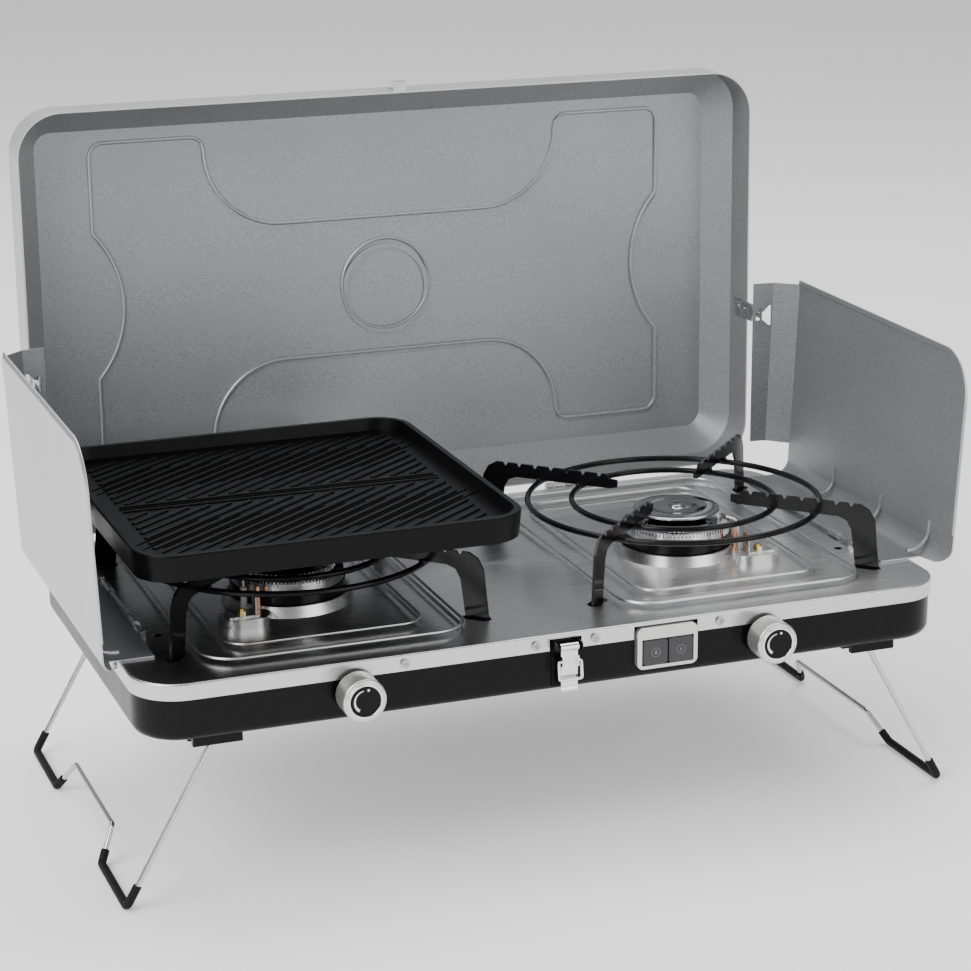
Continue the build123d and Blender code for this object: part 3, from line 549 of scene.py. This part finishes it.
def lid_press_marks():
    """Swage lines along the pressed H and around the plain middle ring, on the inside of the lid."""
    tilt = math.radians(0.9)
    hinge_y, hinge_z = 175.3, 4.5
    depth, middle = 49.3, 169.9
    ring = arc_points(0, 0, 38, 0, 355, 71)
    for name, outline, radius in (("lid_press_line", lid_outline(), 1.5), ("lid_ring_line", ring, 1.3)):
        points = []
        for across, rise in outline:
            up = middle + rise
            points.append(on_deck(across, hinge_y + up * math.sin(tilt) + depth * math.cos(tilt),
                                  hinge_z + up * math.cos(tilt) - depth * math.sin(tilt)))
        bead(name, points, radius * MM, "lid", painted["lid_shell"], closed=True)


def deck_press_marks():
    """Swage lines along both steps of the recess around each burner."""
    burner_x = 161
    outer = {"half_x": 99, "half_y": 146, "mid_y": 0, "r": 26, "z": -0.8}
    inner = {"half_x": 75, "half_y": 121.5, "mid_y": 7, "r": 18, "z": -2.7}
    corners = ((1, 1), (-1, 1), (-1, -1), (1, -1))
    for s, side in SIDES:
        for number, step in enumerate((outer, inner), 1):
            reach_x, reach_y = step["half_x"] - step["r"], step["half_y"] - step["r"]
            outline = []
            for quarter, (cx, cy) in enumerate(corners):
                outline += arc_points(s * burner_x + cx * reach_x, step["mid_y"] + cy * reach_y, step["r"],
                                      90 * quarter, 90 * quarter + 90, 10)
            points = [on_deck(x, y, step["z"]) for x, y in outline]
            bead(f"deck_press_line_{side}_{number}", points, 1.2 * MM, "base",
                 finishes["stainless"], closed=True)


# ---------------------------------------------------------------- stage

def add_floor():
    """Plain pale paper, a little below the feet, that glows slightly so that it stays light."""
    width, drop = 40, 0.0005
    bpy.ops.mesh.primitive_plane_add(size=width, location=(0, 0, -drop))
    floor = bpy.context.object
    floor.name = "floor"
    f = Finish("floor_paper")
    f.colour(f.noise(3.0), (0.90, 0.90, 0.90), 0.01)
    f.rough(f.noise(20.0), 0.85, 0.95)
    f.shader.inputs["Emission Color"].default_value = (1, 1, 1, 1)
    f.shader.inputs["Emission Strength"].default_value = 0.34
    floor.data.materials.append(f.material)


def add_light(name, place, target, size, power):
    light = bpy.data.lights.new(name, "AREA")
    light.shape = "RECTANGLE"
    light.size, light.size_y = size
    light.energy = power
    obj = bpy.data.objects.new(name, light)
    bpy.context.scene.collection.objects.link(obj)
    obj.location = place
    obj.rotation_euler = (Vector(target) - Vector(place)).to_track_quat("-Z", "Y").to_euler()


def add_lights():
    """Three soft area lights aimed at the deck, and an even white surround."""
    aim = (0, DECK_Y, TOP)
    surround = 0.42
    add_light("key_left", (-2.4, -1.2, 2.2), aim, (2.4, 2.4), 120)
    add_light("overhead", (0.4, 1.0, 3.0), aim, (3.6, 2.0), 90)
    add_light("front_fill", (1.6, -3.0, 1.2), aim, (2.0, 1.6), 34)
    world = bpy.data.worlds.new("studio")
    bpy.context.scene.world = world
    world.use_nodes = True
    background = world.node_tree.nodes["Background"]
    background.inputs["Color"].default_value = (1, 1, 1, 1)
    background.inputs["Strength"].default_value = surround


def add_camera():
    """Long lens from the left front, a little above the lid."""
    yaw, pitch, roll = math.radians(20.5), math.radians(16.58), math.radians(0.38)
    right = Vector((math.cos(yaw), -math.sin(yaw), 0))
    forward = Vector((math.sin(yaw) * math.cos(pitch), math.cos(yaw) * math.cos(pitch), -math.sin(pitch)))
    down = forward.cross(right)
    across = right * math.cos(roll) + down * math.sin(roll)
    upward = right * math.sin(roll) - down * math.cos(roll)
    camera = bpy.data.cameras.new("camera")
    camera.lens = 100.4
    camera.sensor_width = 36.0
    camera.clip_end = 100
    obj = bpy.data.objects.new("camera", camera)
    bpy.context.scene.collection.objects.link(obj)
    turn = Matrix((across, upward, -forward)).transposed().to_4x4()
    place = Vector((-0.70014, DECK_Y - 1.88099, TOP + 0.65689))
    obj.matrix_world = Matrix.Translation(place) @ turn
    bpy.context.scene.camera = obj


dress_cad_nodes()
griddle_ribs()
burner_caps()
knob_marks()
button_icons()
support_welds()
shield_details()
lid_press_marks()
deck_press_marks()
add_floor()
add_lights()
add_camera()
